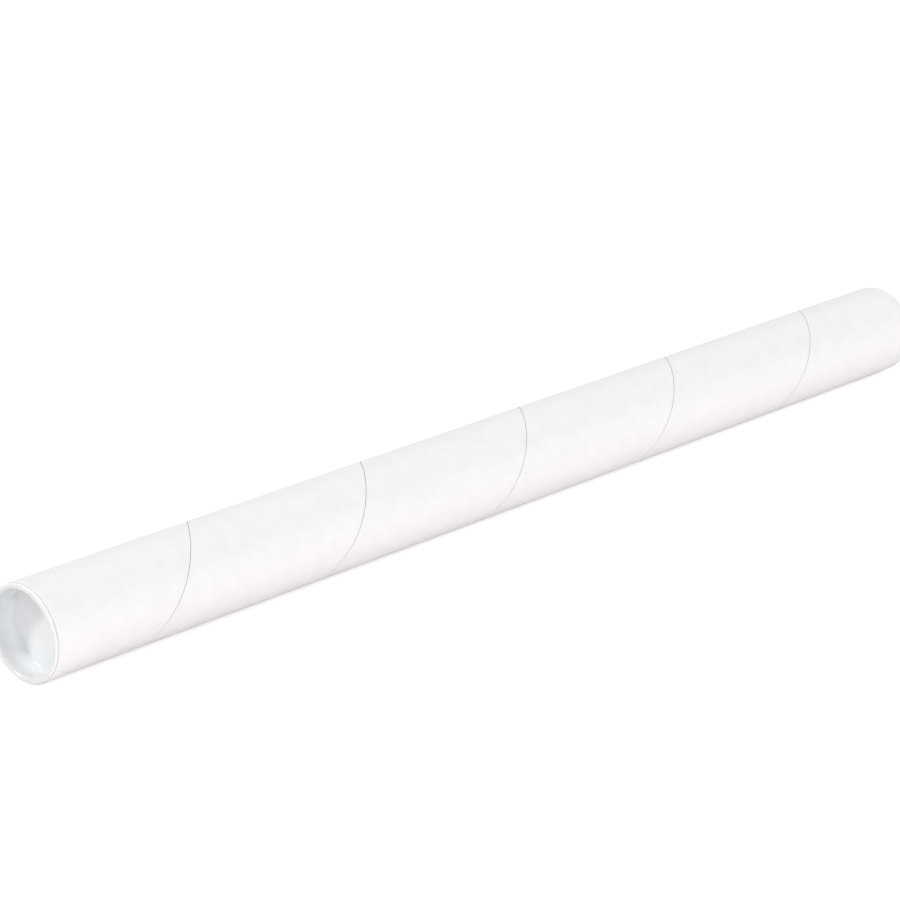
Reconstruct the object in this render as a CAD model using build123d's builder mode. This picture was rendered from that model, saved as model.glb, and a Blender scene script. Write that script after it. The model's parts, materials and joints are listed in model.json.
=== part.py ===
"""Cardboard mailing tube: a spiral-wound paper tube closed by a moulded plastic plug at each end.

Millimetres. The tube lies along X. The origin is under the middle of the tube, on the
surface it rests on, and +Z is up. Each plug is a cup whose skirt slides into the bore
until its flange seats on the tube's cut end.
"""

from build123d import *
from math import cos, radians, sin
import os

# %% Driving sizes

tube_length = 698.5  # cut length of the paper tube, 27.5 in
tube_bore = 50.8  # inside diameter of the paper tube, 2 in
tube_wall = 1.5  # thickness of the wound wall
cut_edge_bevel = 0.2  # what the cutting blade takes off each rim edge
rim_start_turn = 4.09  # degrees from level to where the rim circles start

flange_thickness = 2.2  # along the tube
flange_inset = 0.4  # how far the flange's edge stays inside the tube's outside
flange_front_round = 0.9  # round on the flange's outer front edge
flange_back_round = 0.3  # round on the edge that meets the tube

bead_clearance = 0.04  # radial running clearance between the beads and the bore
bead_height = 0.45  # how far each grip bead stands out of the skirt
bead_width = 1.6  # foot of a bead, along the tube
bead_count = 3

skirt_wall = 1.6  # wall of the cup at its mouth
cup_draft = 0.2  # how much narrower the cup's radius is at its floor than at its mouth
cup_floor_inset = 11.7  # from the tube's end to the cup's floor
cup_floor_thickness = 1.3
mouth_round = 1.6  # round on the inner edge of the mouth
cup_floor_round = 1.6  # round between the cup's wall and its floor
lead_in_length = 1.1  # tapered tip that starts the plug into the bore
lead_in_depth = 0.6

# %% Sizes that follow from them

bore_radius = tube_bore / 2
tube_radius = bore_radius + tube_wall
tube_axis_height = tube_radius  # the tube rests on its own outside

flange_radius = tube_radius - flange_inset
bead_radius = bore_radius - bead_clearance
skirt_radius = bead_radius - bead_height
mouth_radius = skirt_radius - skirt_wall
cup_floor_radius = mouth_radius - cup_draft
plug_tip_inset = cup_floor_inset + cup_floor_thickness
straight_skirt = plug_tip_inset - lead_in_length  # from the flange to the tapered tip
bead_pitch = straight_skirt / (bead_count + 1)  # beads share the straight skirt evenly

# %% Tube


def tube_end_plane(end_x, outward):
    """Plane through the axis at one end: x runs out of the tube, y is the radius."""
    return Plane(
        origin=(end_x, 0, tube_axis_height),
        x_dir=(outward, 0, 0),
        z_dir=(0, -outward, 0),
    )


# The rim circles start half a facet off level. A mesh of the tube with facets of about
# 8 degrees then has one flat on the surface the tube rests on, and lies still on it.
front_rim_plane = Plane(
    origin=(-tube_length / 2, 0, tube_axis_height),
    x_dir=(0, cos(radians(rim_start_turn)), sin(radians(rim_start_turn))),
    z_dir=(1, 0, 0),
)

with BuildPart() as tube_body:
    with BuildSketch(front_rim_plane):
        Circle(tube_radius)
        Circle(bore_radius, mode=Mode.SUBTRACT)
    extrude(amount=tube_length)
    end_edges = tube_body.edges().filter_by(GeomType.CIRCLE)
    chamfer(end_edges, length=cut_edge_bevel)

tube_body.part.label = "tube_body"

# %% Plugs


def corner(profile, x, radius):
    """The profile's corner nearest to a distance outward and a radius."""
    return profile.vertices().sort_by_distance((x, radius, 0))[0]


def build_plug(name, outward):
    """One end plug, seated on the tube's end that faces outward (-1 or +1 along X)."""
    end_x = outward * tube_length / 2
    with BuildPart() as plug:
        with BuildSketch(tube_end_plane(end_x, outward)) as profile:
            # The cup's section, from its floor out to the flange and back along the skirt.
            with BuildLine():
                Polyline(
                    (-cup_floor_inset, 0),
                    (-cup_floor_inset, cup_floor_radius),
                    (flange_thickness, mouth_radius),
                    (flange_thickness, flange_radius),
                    (0, flange_radius),
                    (0, skirt_radius),
                    (-straight_skirt, skirt_radius),
                    (-plug_tip_inset, skirt_radius - lead_in_depth),
                    (-plug_tip_inset, 0),
                    close=True,
                )
            make_face()
            fillet(corner(profile, flange_thickness, flange_radius), flange_front_round)
            fillet(corner(profile, 0, flange_radius), flange_back_round)
            fillet(corner(profile, flange_thickness, mouth_radius), mouth_round)
            fillet(corner(profile, -cup_floor_inset, cup_floor_radius), cup_floor_round)
            # Round beads that grip the bore.
            for index in range(bead_count):
                middle = -(index + 1) * bead_pitch
                with BuildLine():
                    ThreePointArc(
                        (middle - bead_width / 2, skirt_radius),
                        (middle, bead_radius),
                        (middle + bead_width / 2, skirt_radius),
                    )
                    Line(
                        (middle + bead_width / 2, skirt_radius),
                        (middle - bead_width / 2, skirt_radius),
                    )
                make_face()
        revolve(axis=Axis((end_x, 0, tube_axis_height), (1, 0, 0)))
    plug.part.label = name
    return plug


front_plug = build_plug("front_plug", -1)
back_plug = build_plug("back_plug", 1)

# %% Files

os.makedirs("parts", exist_ok=True)
export_step(tube_body.part, "parts/tube_body.step")
export_step(front_plug.part, "parts/front_plug.step")
export_step(back_plug.part, "parts/back_plug.step")
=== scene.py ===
# %% [markdown]
# # A cardboard mailing tube
# A mailing tube is wound from strips of paper board. The outermost strip is white, about
# 102 mm wide, and winds round the tube like the stripe on a barber's pole. Where one turn of
# it meets the next there is a hairline seam. A soft plastic plug closes each end.
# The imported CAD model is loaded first. It gives the place and the main sizes of every piece,
# so each finished piece lands exactly where its plain CAD piece was.

import json
import math

import bpy
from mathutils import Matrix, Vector


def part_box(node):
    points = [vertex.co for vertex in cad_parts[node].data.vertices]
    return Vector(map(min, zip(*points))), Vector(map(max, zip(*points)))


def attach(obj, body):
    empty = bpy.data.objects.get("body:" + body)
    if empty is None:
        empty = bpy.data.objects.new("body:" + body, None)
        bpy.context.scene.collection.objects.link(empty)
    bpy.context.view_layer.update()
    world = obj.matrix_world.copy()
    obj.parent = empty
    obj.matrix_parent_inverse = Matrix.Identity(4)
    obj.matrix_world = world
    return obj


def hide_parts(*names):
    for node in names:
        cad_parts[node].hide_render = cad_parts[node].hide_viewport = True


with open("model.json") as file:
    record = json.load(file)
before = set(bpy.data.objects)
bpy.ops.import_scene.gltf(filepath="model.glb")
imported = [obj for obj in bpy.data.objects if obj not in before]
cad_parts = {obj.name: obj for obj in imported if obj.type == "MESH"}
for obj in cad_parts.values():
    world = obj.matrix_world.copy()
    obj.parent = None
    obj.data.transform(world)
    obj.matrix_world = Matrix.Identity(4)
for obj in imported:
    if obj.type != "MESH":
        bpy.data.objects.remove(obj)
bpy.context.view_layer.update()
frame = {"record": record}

# %% [markdown]
# ## Sizes read from the frame
# Blender works in metres. The tube's outside is one of the record's mounts, so its radius and
# the height of its axis are read from there. Its node gives the length, and the plug's node
# gives how far the flange stands out. Everything else about a piece is a small size in
# millimetres, so a named factor turns those into metres.

# %% Sizes
MM = 0.001

mounts = {mount["name"]: mount for mount in frame["record"]["mounts"]}
tube_outside = mounts["tube_outside"]
tube_radius = tube_outside["dims"]["r_mm"] * MM
tube_axis_z = tube_outside["pos_m"][2]

tube_low, tube_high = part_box("tube_body")
tube_half_length = (tube_high.x - tube_low.x) / 2

plug_low, plug_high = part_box("front_plug")
flange_radius = (plug_high.z - plug_low.z) / 2
flange_thickness = tube_low.x - plug_low.x
plug_tip_inset = plug_high.x - tube_low.x

print("tube radius %.4f m, length %.4f m" % (tube_radius, 2 * tube_half_length))
print("flange radius %.4f m, thickness %.4f m" % (flange_radius, flange_thickness))

# %% [markdown]
# ## The camera
# The view looks along the tube from a little above, with the near plug at the left. A long
# lens from about two metres keeps the perspective gentle: the far end looks about a fifth
# smaller than the near one. The camera comes first, because every later choice, such as how
# fine a curve must be, depends on how closely it is seen.

# %% Camera
camera_place = Vector((-1.3980, -1.3122, 0.7237))
camera_tilt_down = math.radians(19.766)
camera_turn = math.radians(-45.974)
camera_lens = 142.9

camera_data = bpy.data.cameras.new("camera")
camera_data.lens = camera_lens
camera_data.sensor_width = 36.0
camera_data.clip_start = 0.05
camera_data.clip_end = 60.0
camera = bpy.data.objects.new("camera", camera_data)
camera.location = camera_place
camera.rotation_euler = (math.pi / 2 - camera_tilt_down, 0.0, camera_turn)
bpy.context.scene.collection.objects.link(camera)
bpy.context.scene.camera = camera
print("camera at", tuple(camera_place), "lens", camera_lens)

# %% [markdown]
# ## Drawing an outline
# Each piece of this object is round, so each starts as the outline of its section and is
# then turned about the tube's axis. An outline could be typed in as a mesh, but drawing it
# by extruding one vertex, step by step, keeps it readable and easy to change. A small plane,
# merged at its centre, gives that first vertex.


# %% Outline helpers
def pick_only(obj):
    """Makes obj the only selected object, because an operator acts on all that is selected."""
    bpy.ops.object.select_all(action="DESELECT")
    obj.select_set(True)
    bpy.context.view_layer.objects.active = obj


def start_outline(name, points):
    """Draws an open outline through points (x, radius), with +Z as the radius."""
    bpy.ops.object.select_all(action="DESELECT")
    first_x, first_radius = points[0]
    bpy.ops.mesh.primitive_plane_add(size=MM, location=(first_x, 0.0, first_radius))
    outline = bpy.context.object
    outline.name = name
    outline.data.name = name
    bpy.ops.object.transform_apply(location=True, rotation=True, scale=True)
    bpy.ops.object.mode_set(mode="EDIT")
    bpy.ops.mesh.select_mode(type="VERT")
    bpy.ops.mesh.select_all(action="SELECT")
    bpy.ops.mesh.merge(type="CENTER")
    for (x0, r0), (x1, r1) in zip(points, points[1:]):
        step = (x1 - x0, 0.0, r1 - r0)
        bpy.ops.mesh.extrude_region_move(TRANSFORM_OT_translate={"value": step})
    bpy.ops.object.mode_set(mode="OBJECT")
    print("%s: outline of %d points" % (name, len(outline.data.vertices)))
    return outline


# %% [markdown]
# ## Rounding a corner
# No moulded edge is sharp, and a real edge shows by the thin light it catches. Bevelling one
# vertex of the outline, before it is turned, rounds the whole edge at once. The vertex is
# found by its place, so the order in which the outline was drawn doesn't matter.


# %% Corner helpers
corner_reach = 0.05 * MM


def select_vertices(obj, chosen):
    """Selects, in object mode, the vertices for which chosen(co) is true, and nothing else."""
    for polygon in obj.data.polygons:
        polygon.select = False
    for edge in obj.data.edges:
        edge.select = False
    for vertex in obj.data.vertices:
        vertex.select = bool(chosen(vertex.co))


def round_corner(outline, x, radius, amount, segments):
    """Rounds the outline's corner at (x, radius) with an arc that starts amount before it."""
    select_vertices(
        outline,
        lambda co: abs(co.x - x) < corner_reach and abs(co.z - radius) < corner_reach,
    )
    bpy.ops.object.mode_set(mode="EDIT")
    bpy.ops.mesh.bevel(offset=amount, segments=segments, affect="VERTICES", profile=0.5)
    bpy.ops.object.mode_set(mode="OBJECT")
    print("%s: corner rounded by %.1f mm" % (outline.name, amount / MM))


# %% [markdown]
# ## Finishing a mesh
# A turned surface meets itself where the turn closes, so its doubles are merged. Its faces
# are then turned outwards, and anything left open is counted, because a hole or a face that
# points inwards shows up later as a dark patch. The pieces are modelled about the X axis and
# moved up to the tube's axis at the end. That move is applied, so every object stays at the
# origin, with its place in its mesh.


# %% Finishing helpers
def close_and_face_out(obj, merge_distance):
    """Merges what meets, turns every face outwards and reports what is left open."""
    pick_only(obj)
    bpy.ops.object.mode_set(mode="EDIT")
    bpy.ops.mesh.select_all(action="SELECT")
    bpy.ops.mesh.remove_doubles(threshold=merge_distance)
    bpy.ops.mesh.normals_make_consistent(inside=False)
    bpy.ops.mesh.select_all(action="DESELECT")
    bpy.ops.mesh.select_non_manifold()
    bpy.ops.object.mode_set(mode="OBJECT")
    open_count = sum(vertex.select for vertex in obj.data.vertices)
    print("%s: %d faces, %d vertices left open" % (obj.name, len(obj.data.polygons), open_count))


def set_down(obj):
    """Moves a piece modelled about the X axis up to the tube's axis and applies its place."""
    pick_only(obj)
    obj.location = (0.0, 0.0, tube_axis_z)
    bpy.ops.object.transform_apply(location=True, rotation=True, scale=True)


# %% [markdown]
# ## The plug
# The plug is one moulding: a flange that seats on the tube's cut end, a cup that reaches
# into the bore, a flat floor, and round beads outside the cup that grip the paper. Its
# section is drawn once, its corners are rounded, and a full spin about the axis makes the
# solid. Spinning the section, rather than cutting cylinders out of each other, gives even
# quads that run round the part, so the shading on the thin rim stays clean.

# %% Plug sizes
tube_wall = 1.5 * MM
bead_clearance = 0.04 * MM
bead_height = 0.45 * MM
bead_half_width = 0.8 * MM
bead_count = 3
skirt_wall = 1.6 * MM
cup_taper = 0.2 * MM
floor_thickness = 1.3 * MM
lead_in_length = 1.1 * MM
lead_in_depth = 0.6 * MM

bore_radius = tube_radius - tube_wall
bead_radius = bore_radius - bead_clearance
skirt_radius = bead_radius - bead_height
mouth_radius = skirt_radius - skirt_wall
cup_floor_radius = mouth_radius - cup_taper
cup_floor_inset = plug_tip_inset - floor_thickness
straight_skirt = plug_tip_inset - lead_in_length
print("bore %.2f mm, beads %.2f mm, skirt %.2f mm in radius" % (
    bore_radius / MM, bead_radius / MM, skirt_radius / MM
))


# %% Plug section
bead_steps = 8


def bead_points(middle):
    """A bead's round back, as points along the skirt from the flange towards the tip."""
    rise = bead_radius - skirt_radius
    angles = [math.pi * step / bead_steps for step in range(bead_steps + 1)]
    return [
        (middle + math.cos(angle) * bead_half_width, skirt_radius + math.sin(angle) * rise)
        for angle in angles
    ]


def plug_section():
    """The section of a plug whose flange seats at x = 0 and whose mouth faces +x."""
    points = [
        (-cup_floor_inset, 0.0),
        (-cup_floor_inset, cup_floor_radius),
        (flange_thickness, mouth_radius),
        (flange_thickness, flange_radius),
        (0.0, flange_radius),
        (0.0, skirt_radius),
    ]
    for index in range(bead_count):
        middle = -(index + 1) * straight_skirt / (bead_count + 1)
        points += bead_points(middle)
    points += [
        (-straight_skirt, skirt_radius),
        (-plug_tip_inset, skirt_radius - lead_in_depth),
        (-plug_tip_inset, 0.0),
    ]
    return points


# %% Make the plugs
flange_front_round = 0.9 * MM
flange_back_round = 0.3 * MM
mouth_round = 1.6 * MM
cup_corner_round = 1.6 * MM
spin_steps = 192
plug_merge_distance = 0.002 * MM
plug_smooth_angle = math.radians(35.0)


def make_plug(name, outward):
    """Spins the section into a plug and seats it on the end of the tube at outward * X."""
    plug = start_outline(name, plug_section())
    round_corner(plug, flange_thickness, flange_radius, flange_front_round, segments=8)
    round_corner(plug, 0.0, flange_radius, flange_back_round, segments=4)
    round_corner(plug, flange_thickness, mouth_radius, mouth_round, segments=12)
    round_corner(plug, -cup_floor_inset, cup_floor_radius, cup_corner_round, segments=10)
    bpy.ops.object.mode_set(mode="EDIT")
    bpy.ops.mesh.select_all(action="SELECT")
    bpy.ops.mesh.spin(
        steps=spin_steps, angle=2 * math.pi, center=(0.0, 0.0, 0.0), axis=(1.0, 0.0, 0.0)
    )
    bpy.ops.object.mode_set(mode="OBJECT")
    if outward < 0:
        plug.rotation_euler = (0.0, 0.0, math.pi)
        bpy.ops.object.transform_apply(location=True, rotation=True, scale=True)
    plug.location.x = outward * tube_half_length
    bpy.ops.object.transform_apply(location=True, rotation=True, scale=True)
    close_and_face_out(plug, plug_merge_distance)
    bpy.ops.object.shade_smooth_by_angle(angle=plug_smooth_angle)
    set_down(plug)
    return plug


front_plug = make_plug("front_end_plug", -1)
back_plug = make_plug("back_end_plug", 1)
for plug, node in ((front_plug, "front_plug"), (back_plug, "back_plug")):
    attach(plug, node)
    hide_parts(node)

# %% [markdown]
# ## The wound tube
# On the real tube the white strip is wound round the core with its edges butted together.
# The seam is therefore a screw line, and the quickest true way to make it is the Screw
# modifier. One stretch of the wall's outside, with half of the seam's little groove at each
# end, is turned about the axis while it moves along by its own length. Each turn starts
# where the last one ended, so merging the doubles closes the outside. That length is how far
# the strip advances in a turn: a strip of width w round a circumference c advances by
# w * c / sqrt(c**2 - w**2), which is more than w, because the strip runs at a slant.
# One crossing of the seam with the top of the tube fixes the place of all the others. The
# innermost strip has a seam of its own, some part of a turn away, so the bore is wound in
# the same way. The ends are then cut square by bisecting, as a blade does.

# %% Strip and seam sizes
strip_width = 102.0 * MM
circumference = 2 * math.pi * tube_radius
seam_advance = strip_width * circumference / math.sqrt(circumference**2 - strip_width**2)
inner_seam_shift = 0.45
outer_seam_at_top = -237.44 * MM
inner_seam_at_top = outer_seam_at_top + inner_seam_shift * seam_advance
groove_half_width = 0.16 * MM
groove_depth = 0.2 * MM
groove_lip = 0.05 * MM
print("the strip advances %.1f mm a turn" % (seam_advance / MM))


# %% Wind a surface
turn_steps = 256
spare_turns = 3
weld_distance = 0.001 * MM


def seam_section(radius, into_wall):
    """One turn's advance of surface, with half of the seam's groove at each end."""
    near = (groove_half_width, radius + into_wall * groove_lip)
    deep = (groove_half_width - groove_lip, radius + into_wall * groove_depth)
    lip = (groove_half_width + groove_lip, radius)
    half = [(0.0, deep[1]), deep, near, lip]
    return half + [(seam_advance - x, r) for x, r in reversed(half)]


def wind(name, radius, into_wall, seam_at_top):
    """Screws one turn's advance of surface along the axis, past both ends of the tube."""
    first_seam = math.ceil((tube_half_length - seam_at_top) / seam_advance)
    turns = math.ceil(2 * tube_half_length / seam_advance) + spare_turns
    surface = start_outline(name, seam_section(radius, into_wall))
    screw = surface.modifiers.new("wind", "SCREW")
    screw.axis = "X"
    screw.angle = 2 * math.pi
    screw.screw_offset = -seam_advance
    screw.iterations = turns
    screw.steps = turn_steps
    screw.render_steps = turn_steps
    screw.use_merge_vertices = True
    screw.merge_threshold = weld_distance
    pick_only(surface)
    bpy.ops.object.modifier_apply(modifier=screw.name)
    surface.location.x = seam_at_top + first_seam * seam_advance
    bpy.ops.object.transform_apply(location=True, rotation=True, scale=True)
    bpy.ops.object.mode_set(mode="EDIT")
    bpy.ops.mesh.select_all(action="SELECT")
    bpy.ops.mesh.remove_doubles(threshold=weld_distance)
    bpy.ops.object.mode_set(mode="OBJECT")
    print("%s: wound in %d turns" % (name, turns))
    return surface


# %% [markdown]
# ### Cutting the ends
# A blade leaves an edge that is square but never quite sharp. Each end is cut a little short
# of its full length, the edges of the cut are selected by their place, and one extrude,
# scaled slightly, folds a small bevel back to the full length.


# %% Cut the ends
cut_edge_bevel = 0.2 * MM
cut_threshold = 0.0001 * MM
rim_merge_distance = 0.02 * MM
rim_reach = 0.01 * MM


def select_rim(surface, side, x):
    """Selects the edges that lie in the plane of one cut end."""
    select_vertices(surface, lambda co: False)
    vertices = surface.data.vertices
    for edge in surface.data.edges:
        ends = [vertices[index].co.x for index in edge.vertices]
        edge.select = all(abs(end - side * x) < rim_reach for end in ends)
        for index in edge.vertices:
            vertices[index].select = vertices[index].select or edge.select


def cut_ends(surface, radius, into_wall):
    """Cuts both ends square, then folds a small bevel round each cut edge."""
    cut_x = tube_half_length - cut_edge_bevel
    scale = (radius + into_wall * cut_edge_bevel) / radius
    for side in (-1, 1):
        bpy.ops.object.mode_set(mode="EDIT")
        bpy.ops.mesh.select_all(action="SELECT")
        bpy.ops.mesh.bisect(
            plane_co=(side * cut_x, 0.0, 0.0),
            plane_no=(side, 0.0, 0.0),
            clear_outer=True,
            threshold=cut_threshold,
        )
        bpy.ops.object.mode_set(mode="OBJECT")
        select_rim(surface, side, cut_x)
        bpy.ops.object.mode_set(mode="EDIT")
        bpy.ops.mesh.remove_doubles(threshold=rim_merge_distance)
        bpy.ops.mesh.extrude_region_move(
            TRANSFORM_OT_translate={"value": (side * cut_edge_bevel, 0.0, 0.0)}
        )
        bpy.ops.transform.resize(value=(1.0, scale, scale), center_override=(0.0, 0.0, 0.0))
        bpy.ops.object.mode_set(mode="OBJECT")


# %% [markdown]
# ### Joining the outside to the bore
# The outside and the bore are two open surfaces of one piece. They are joined, and at each
# end the ring between their two rims is filled with faces, which closes the wall.

# %% Make the tube
tube_smooth_angle = math.radians(30.0)


def make_tube():
    """Winds the bore and the outside, cuts both and closes the wall between them."""
    bore = wind("tube_bore", bore_radius, 1, inner_seam_at_top)
    cut_ends(bore, bore_radius, 1)
    tube = wind("wound_tube", tube_radius, -1, outer_seam_at_top)
    cut_ends(tube, tube_radius, -1)
    pick_only(tube)
    bore.select_set(True)
    bpy.ops.object.join()
    for side in (-1, 1):
        select_rim(tube, side, tube_half_length)
        bpy.ops.object.mode_set(mode="EDIT")
        bpy.ops.mesh.fill(use_beauty=True)
        bpy.ops.object.mode_set(mode="OBJECT")
    close_and_face_out(tube, weld_distance)
    bpy.ops.object.shade_smooth_by_angle(angle=tube_smooth_angle)
    set_down(tube)
    return tube


wound_tube = make_tube()
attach(wound_tube, "tube")
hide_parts("tube_body")

# %% [markdown]
# ## Finishes
# Nothing here is coloured and little of it shines, so the finishes earn their look from
# small differences: paper is a felt of fibres that takes the light in faint clouds, and the
# plastic is milky, so light goes a little way into it and comes out again. All of them need
# clouds and grain, so that pattern is made once, as a node group with named inputs and
# outputs, and each material sets its own sizes.


# %% Shared pattern: clouds and grain
cloud_detail = 4.0
grain_detail = 3.0
octave_strength = 0.6


def add_node(tree, kind, **settings):
    """Adds a node and sets its own settings, such as a Math node's operation."""
    node = tree.nodes.new(kind)
    for name, value in settings.items():
        setattr(node, name, value)
    return node


def make_clouds_and_grain():
    """Two noises, one coarse and one fine, read from the position handed in."""
    group = bpy.data.node_groups.new("clouds_and_grain", "ShaderNodeTree")
    group.interface.new_socket("Position", in_out="INPUT", socket_type="NodeSocketVector")
    for name in ("Clouds per metre", "Grains per metre"):
        group.interface.new_socket(name, in_out="INPUT", socket_type="NodeSocketFloat")
    for name in ("Clouds", "Grain"):
        group.interface.new_socket(name, in_out="OUTPUT", socket_type="NodeSocketFloat")
    inputs = add_node(group, "NodeGroupInput")
    outputs = add_node(group, "NodeGroupOutput")
    for source, sink, detail in (
        ("Clouds per metre", "Clouds", cloud_detail),
        ("Grains per metre", "Grain", grain_detail),
    ):
        noise = add_node(group, "ShaderNodeTexNoise", noise_dimensions="3D")
        noise.inputs["Detail"].default_value = detail
        noise.inputs["Roughness"].default_value = octave_strength
        group.links.new(inputs.outputs["Position"], noise.inputs["Vector"])
        group.links.new(inputs.outputs[source], noise.inputs["Scale"])
        group.links.new(noise.outputs["Fac"], outputs.inputs[sink])
    return group


clouds_and_grain = make_clouds_and_grain()
print("pattern group with", len(clouds_and_grain.nodes), "nodes")


# %% Start a material
def new_material(name, clouds_per_metre, grains_per_metre):
    """A material with its Principled shader and the pattern group, reading Object position."""
    material = bpy.data.materials.new(name)
    material.use_nodes = True
    tree = material.node_tree
    shader = next(node for node in tree.nodes if node.type == "BSDF_PRINCIPLED")
    pattern = add_node(tree, "ShaderNodeGroup", node_tree=clouds_and_grain)
    pattern.inputs["Clouds per metre"].default_value = clouds_per_metre
    pattern.inputs["Grains per metre"].default_value = grains_per_metre
    place = add_node(tree, "ShaderNodeTexCoord")
    tree.links.new(place.outputs["Object"], pattern.inputs["Position"])
    return material, tree, shader, pattern


# %% Colours and values from a pattern
def colour_between(tree, mask, low, high, low_at=0.3, high_at=0.7):
    """Blends from one colour to another as the mask rises from low_at to high_at."""
    ramp = add_node(tree, "ShaderNodeValToRGB")
    ramp.color_ramp.elements[0].position = low_at
    ramp.color_ramp.elements[0].color = (*low, 1.0)
    ramp.color_ramp.elements[1].position = high_at
    ramp.color_ramp.elements[1].color = (*high, 1.0)
    tree.links.new(mask, ramp.inputs["Fac"])
    return ramp.outputs["Color"]


def value_between(tree, mask, low, high):
    """Maps a mask from 0..1 to a range."""
    map_range = add_node(tree, "ShaderNodeMapRange")
    map_range.inputs["To Min"].default_value = low
    map_range.inputs["To Max"].default_value = high
    tree.links.new(mask, map_range.inputs["Value"])
    return map_range.outputs["Result"]


def mask_above(tree, value, start, full):
    """0 where value is at start, rising smoothly to 1 where it reaches full."""
    map_range = add_node(tree, "ShaderNodeMapRange", interpolation_type="SMOOTHSTEP")
    map_range.inputs["From Min"].default_value = start
    map_range.inputs["From Max"].default_value = full
    tree.links.new(value, map_range.inputs["Value"])
    return map_range.outputs["Result"]


# %% Blends and bumps
# A Mix node keeps a set of sockets for each kind of data. These are the ones for colours.
MIX_FACTOR, MIX_FIRST, MIX_SECOND = 0, 6, 7
MIX_RESULT = 2


def blend_colours(tree, mask, first, second):
    """Mixes two colours, handed in as sockets, by a mask."""
    mix = add_node(tree, "ShaderNodeMix", data_type="RGBA")
    tree.links.new(mask, mix.inputs[MIX_FACTOR])
    tree.links.new(first, mix.inputs[MIX_FIRST])
    tree.links.new(second, mix.inputs[MIX_SECOND])
    return mix.outputs[MIX_RESULT]


def plain_colour(tree, colour):
    """A colour as a socket, for a blend."""
    node = add_node(tree, "ShaderNodeRGB")
    node.outputs[0].default_value = (*colour, 1.0)
    return node.outputs[0]


def bump_from(tree, height, distance, strength, normal=None):
    """Tilts the shading as if the surface rose by distance where height is 1."""
    bump = add_node(tree, "ShaderNodeBump")
    bump.inputs["Distance"].default_value = distance
    bump.inputs["Strength"].default_value = strength
    tree.links.new(height, bump.inputs["Height"])
    if normal is not None:
        tree.links.new(normal, bump.inputs["Normal"])
    return bump.outputs["Normal"]


# %% [markdown]
# ### White paper face
# The outer strip is smooth white paper. Up close it is not one white: soft clouds, about a
# centimetre across, come from the fibres. A grain finer than half a millimetre breaks up the
# sheen. The clouds stay within a few percent, because stronger ones would look like marble.


# %% Paper
def make_white_paper():
    """Smooth paper: faint clouds in its colour, fine grain in its sheen."""
    material, tree, shader, pattern = new_material(
        "white_paper", clouds_per_metre=110.0, grains_per_metre=2200.0
    )
    clouds = pattern.outputs["Clouds"]
    grain = pattern.outputs["Grain"]
    colour = colour_between(tree, clouds, (0.866, 0.860, 0.852), (0.900, 0.895, 0.888))
    tree.links.new(colour, shader.inputs["Base Color"])
    roughness = value_between(tree, grain, 0.42, 0.54)
    tree.links.new(roughness, shader.inputs["Roughness"])
    coarse = bump_from(tree, clouds, distance=0.10 * MM, strength=0.3)
    fine = bump_from(tree, grain, distance=0.03 * MM, strength=0.6, normal=coarse)
    tree.links.new(fine, shader.inputs["Normal"])
    shader.inputs["IOR"].default_value = 1.45
    return material


white_paper = make_white_paper()
print(white_paper.name, "has", len(white_paper.node_tree.nodes), "nodes")

# %% [markdown]
# ### Bare board
# The cut end and the bore show the board itself, which is made from used paper: duller than
# the face, uneven, with dark flecks. The flecks are the peaks of the grain, cut off at a
# level that leaves only a few. The floor of the seam gets a much darker, greyer board: painted
# shade, because the slit is so shallow that its own shade hardly shows from a distance.

# %% Board
fleck_darkness = 0.72
fleck_start = 0.60
fleck_full = 0.68


def make_board(name, pale, dark):
    """Bare paper board: rough, cloudy and flecked, as board from recycled fibre is."""
    material, tree, shader, pattern = new_material(
        name, clouds_per_metre=160.0, grains_per_metre=1300.0
    )
    grain = pattern.outputs["Grain"]
    ground = colour_between(tree, pattern.outputs["Clouds"], dark, pale)
    fleck = plain_colour(tree, [fleck_darkness * level for level in dark])
    flecks = mask_above(tree, grain, fleck_start, fleck_full)
    colour = blend_colours(tree, flecks, ground, fleck)
    tree.links.new(colour, shader.inputs["Base Color"])
    shader.inputs["Roughness"].default_value = 0.9
    shader.inputs["Specular IOR Level"].default_value = 0.3
    normal = bump_from(tree, grain, distance=0.08 * MM, strength=0.8)
    tree.links.new(normal, shader.inputs["Normal"])
    return material


core_board = make_board("core_board", (0.84, 0.82, 0.79), (0.78, 0.76, 0.73))
# The seam's dark grey board stands in for the shade in the slit: painted shade.
seam_painted_shade = make_board("seam_painted_shade", (0.30, 0.285, 0.28), (0.24, 0.23, 0.225))
for board in (core_board, seam_painted_shade):
    print(board.name, "has", len(board.node_tree.nodes), "nodes")

# %% [markdown]
# ### Milky plastic
# The plug is thin white polyethylene. Light goes a couple of millimetres into it, so its
# edges look soft, and it is smooth enough for small highlights. The rim is painted a darker
# white, as painted shade, and the cup a paler, slightly bluer white, as painted light with the
# bluish cast of its shade. The flange's outer edge carries a thin painted highlight. Those
# changes follow the plug's shape, so they are masks read from the position along the tube
# and from the distance to its axis.

# %% Masks that follow the plug's shape
# The cup's painted light fades in over this depth.
cup_painted_light_depth = 9.0 * MM
# The flange's painted highlight: how wide it is and how softly it fades in.
highlight_band = 0.45 * MM
highlight_fade = 0.35 * MM


def depth_in_cup(tree):
    """0 from the mouth to where the flange seats, 1 from cup_painted_light_depth inside that."""
    place = add_node(tree, "ShaderNodeTexCoord")
    split = add_node(tree, "ShaderNodeSeparateXYZ")
    tree.links.new(place.outputs["Object"], split.inputs["Vector"])
    from_middle = add_node(tree, "ShaderNodeMath", operation="ABSOLUTE")
    tree.links.new(split.outputs["X"], from_middle.inputs[0])
    seat = tube_half_length
    return mask_above(tree, from_middle.outputs[0], seat, seat - cup_painted_light_depth)


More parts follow.
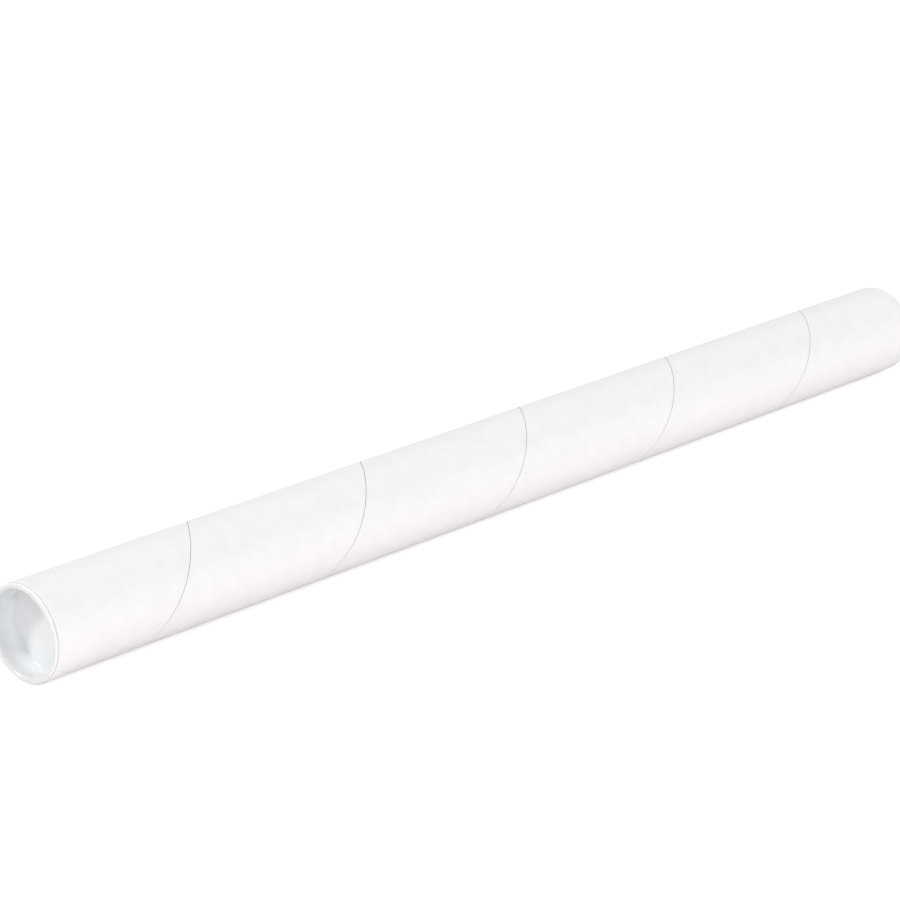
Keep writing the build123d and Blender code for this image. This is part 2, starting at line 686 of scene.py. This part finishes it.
def flange_edge_highlight_mask(tree):
    """A mask read from distance to the tube's axis: 1 on the flange's thin outer edge, where a
    highlight is painted.
    """
    place = add_node(tree, "ShaderNodeTexCoord")
    to_axis = add_node(tree, "ShaderNodeVectorMath", operation="SUBTRACT")
    to_axis.inputs[1].default_value = (0.0, 0.0, tube_axis_z)
    across = add_node(tree, "ShaderNodeVectorMath", operation="MULTIPLY")
    across.inputs[1].default_value = (0.0, 1.0, 1.0)
    radius = add_node(tree, "ShaderNodeVectorMath", operation="LENGTH")
    tree.links.new(place.outputs["Object"], to_axis.inputs[0])
    tree.links.new(to_axis.outputs["Vector"], across.inputs[0])
    tree.links.new(across.outputs["Vector"], radius.inputs[0])
    inner = flange_radius - highlight_band
    return mask_above(tree, radius.outputs["Value"], inner, inner + highlight_fade)


# %% Rings left by the mould
ring_spacing = 1.8 * MM
WAVE_PERIOD_AT_SCALE_ONE = math.pi / 10.0


def mould_rings(tree, spacing):
    """Faint rings round the plug, a spacing apart, from position along the tube."""
    place = add_node(tree, "ShaderNodeTexCoord")
    rings = add_node(
        tree, "ShaderNodeTexWave", wave_type="BANDS", bands_direction="X", wave_profile="SIN"
    )
    rings.inputs["Scale"].default_value = WAVE_PERIOD_AT_SCALE_ONE / spacing
    rings.inputs["Distortion"].default_value = 0.0
    tree.links.new(place.outputs["Object"], rings.inputs["Vector"])
    return rings.outputs["Fac"]


# %% Plastic
def make_milky_plastic():
    """Smooth, slightly translucent plastic: painted shade on the rim, painted light in the cup,
    a painted highlight on the flange's edge.
    """
    material, tree, shader, pattern = new_material(
        "milky_plastic", clouds_per_metre=60.0, grains_per_metre=1200.0
    )
    clouds = pattern.outputs["Clouds"]
    # Painted shade on the rim; painted light with a bluish cast in the cup.
    rim_painted_shade = colour_between(tree, clouds, (0.730, 0.736, 0.746), (0.750, 0.756, 0.766))
    cup_painted_light = colour_between(tree, clouds, (0.848, 0.876, 0.893), (0.862, 0.889, 0.905))
    # A painted highlight along the flange's outer edge.
    edge_painted_highlight = plain_colour(tree, (0.88, 0.885, 0.89))
    painted_cup_and_rim = blend_colours(tree, depth_in_cup(tree), rim_painted_shade, cup_painted_light)
    colour = blend_colours(tree, flange_edge_highlight_mask(tree), painted_cup_and_rim, edge_painted_highlight)
    tree.links.new(colour, shader.inputs["Base Color"])
    roughness = value_between(tree, pattern.outputs["Grain"], 0.14, 0.24)
    tree.links.new(roughness, shader.inputs["Roughness"])
    rings = mould_rings(tree, ring_spacing)
    uneven = bump_from(tree, clouds, distance=0.10 * MM, strength=0.4)
    ringed = bump_from(tree, rings, distance=0.02 * MM, strength=0.5, normal=uneven)
    tree.links.new(ringed, shader.inputs["Normal"])
    shader.inputs["IOR"].default_value = 1.51
    shader.inputs["Subsurface Weight"].default_value = 0.5
    shader.inputs["Subsurface Radius"].default_value = (1.0, 1.0, 1.0)
    shader.inputs["Subsurface Scale"].default_value = 2.0 * MM
    return material


milky_plastic = make_milky_plastic()
print(milky_plastic.name, "has", len(milky_plastic.node_tree.nodes), "nodes")

# %% [markdown]
# ### Dressing the pieces
# The tube is one mesh with three finishes, so each face is told which one it has. A face's
# place is enough to tell: the bore and the ring of the cut end lie further in than the seam
# is deep, the cut edge's outer bevel belongs to the paper, and what is left below the
# surface is the seam, whose dark board is painted shade.

# %% Which finish a face has
# SEAM is the finish that carries the seam's painted shade.
WHITE, BOARD, SEAM = range(3)
below_seam_radius = tube_radius - 1.05 * groove_depth
on_face_radius = tube_radius - 0.6 * groove_lip


def tube_finish(middle):
    """Which finish a face of the tube has, from where its middle lies."""
    radius = math.hypot(middle.y, middle.z - tube_axis_z)
    if radius < below_seam_radius:
        return BOARD
    at_cut_edge = abs(middle.x) > tube_half_length - cut_edge_bevel
    if at_cut_edge or radius > on_face_radius:
        return WHITE
    return SEAM


# %% Dress the pieces
wound_tube.data.materials.clear()
for material in (white_paper, core_board, seam_painted_shade):
    wound_tube.data.materials.append(material)

finish_counts = [0, 0, 0]
for face in wound_tube.data.polygons:
    face.material_index = tube_finish(face.center)
    finish_counts[face.material_index] += 1
print("faces of white paper, board and seam:", finish_counts)

for plug in (front_plug, back_plug):
    plug.data.materials.clear()
    plug.data.materials.append(milky_plastic)

# %% [markdown]
# ## Floor and sky
# White on white needs soft light from many sides, so that the tube is told from the
# background only by its own gentle shading. A pale sky gives the even part, and a pale floor
# sends some of it back up. To the camera both should be plain white, and turning the lamps up
# for that would wash the tube out. So the lift is tied to Light Path: it is there for what
# the camera sees, directly or through something clear, and adds no light to the object.
# Nothing here is metal or glass, so reflections are left with the plain floor and sky.


# %% Rays that see the background
def background_seen(tree):
    """1 for rays that come straight from the camera or through something clear, else 0."""
    light_path = add_node(tree, "ShaderNodeLightPath")
    seen = add_node(tree, "ShaderNodeMath", operation="MAXIMUM")
    tree.links.new(light_path.outputs["Is Camera Ray"], seen.inputs[0])
    tree.links.new(light_path.outputs["Is Transmission Ray"], seen.inputs[1])
    return seen.outputs[0]


# %% Floor
floor_size = 12.0
floor_lift = 0.45


def make_floor_material():
    """A matt pale floor that keeps the object's shadow and looks white to the camera."""
    material = bpy.data.materials.new("pale_floor")
    material.use_nodes = True
    tree = material.node_tree
    shader = next(node for node in tree.nodes if node.type == "BSDF_PRINCIPLED")
    shader.inputs["Base Color"].default_value = (0.95, 0.930, 0.926, 1.0)
    shader.inputs["Roughness"].default_value = 0.9
    shader.inputs["Specular IOR Level"].default_value = 0.2
    lift = add_node(tree, "ShaderNodeMath", operation="MULTIPLY")
    lift.inputs[1].default_value = floor_lift
    tree.links.new(background_seen(tree), lift.inputs[0])
    shader.inputs["Emission Color"].default_value = (1.0, 1.0, 1.0, 1.0)
    tree.links.new(lift.outputs[0], shader.inputs["Emission Strength"])
    return material


bpy.ops.object.select_all(action="DESELECT")
bpy.ops.mesh.primitive_plane_add(size=floor_size, location=(0.0, 0.0, 0.0))
floor = bpy.context.object
floor.name = "floor"
floor.data.materials.append(make_floor_material())
print("floor of", floor_size, "m")


# %% Sky
sky_light = 0.64


def make_sky():
    """A white sky that lights the object at sky_light and is seen at full white."""
    world = bpy.data.worlds.new("sky")
    bpy.context.scene.world = world
    world.use_nodes = True
    tree = world.node_tree
    background = next(node for node in tree.nodes if node.type == "BACKGROUND")
    background.inputs["Color"].default_value = (1.0, 1.0, 1.0, 1.0)
    strength = value_between(tree, background_seen(tree), sky_light, 1.0)
    tree.links.new(strength, background.inputs["Strength"])


make_sky()
print("sky lights the object at", sky_light)

# %% [markdown]
# ## Softboxes
# A softbox to the left and above shapes the plug's cup, one near the camera puts a glint in
# it, and one to the right gives the tube a faint sheen along its flank. A low one lifts the
# underside. They all stand five to seven metres off, so that the near end of the tube is
# hardly brighter than the far end. Each is a square area light, placed by a direction and a
# distance from one point of the tube, a little nearer to the viewer than its middle.

# %% Place the softboxes
towards_near_end = 0.3
lit_point = Vector((-tube_half_length * towards_near_end, 0.0, tube_axis_z))


def softbox(name, towards, distance, size, watts, colour):
    """A square area light that stands off in one direction and faces lit_point."""
    data = bpy.data.lights.new(name, "AREA")
    data.shape = "SQUARE"
    data.size = size
    data.energy = watts
    data.color = colour
    lamp = bpy.data.objects.new(name, data)
    direction = Vector(towards).normalized()
    lamp.location = lit_point + direction * distance
    lamp.rotation_euler = direction.to_track_quat("Z", "Y").to_euler()
    bpy.context.scene.collection.objects.link(lamp)
    print("%s: %.0f W from %.1f m" % (name, watts, distance))


# Name, direction, metres away, metres wide, watts, colour.
softbox("left_softbox", (-0.57, 0.49, 0.66), 7.0, 0.9, 190.0, (1.0, 0.985, 0.965))
softbox("front_softbox", (-0.45, -0.74, 0.50), 7.0, 0.7, 82.0, (1.0, 0.99, 1.0))
softbox("right_softbox", (0.55, -0.68, 0.48), 7.0, 1.0, 48.0, (1.0, 0.985, 1.0))
softbox("low_softbox", (0.25, -0.96, 0.055), 5.0, 0.5, 27.0, (1.0, 0.97, 0.975))

# %% [markdown]
# ## View
# The Standard view shows colours as they are written, with no film curve.

# %% View settings
bpy.context.scene.view_settings.view_transform = "Standard"
print("view transform:", bpy.context.scene.view_settings.view_transform)
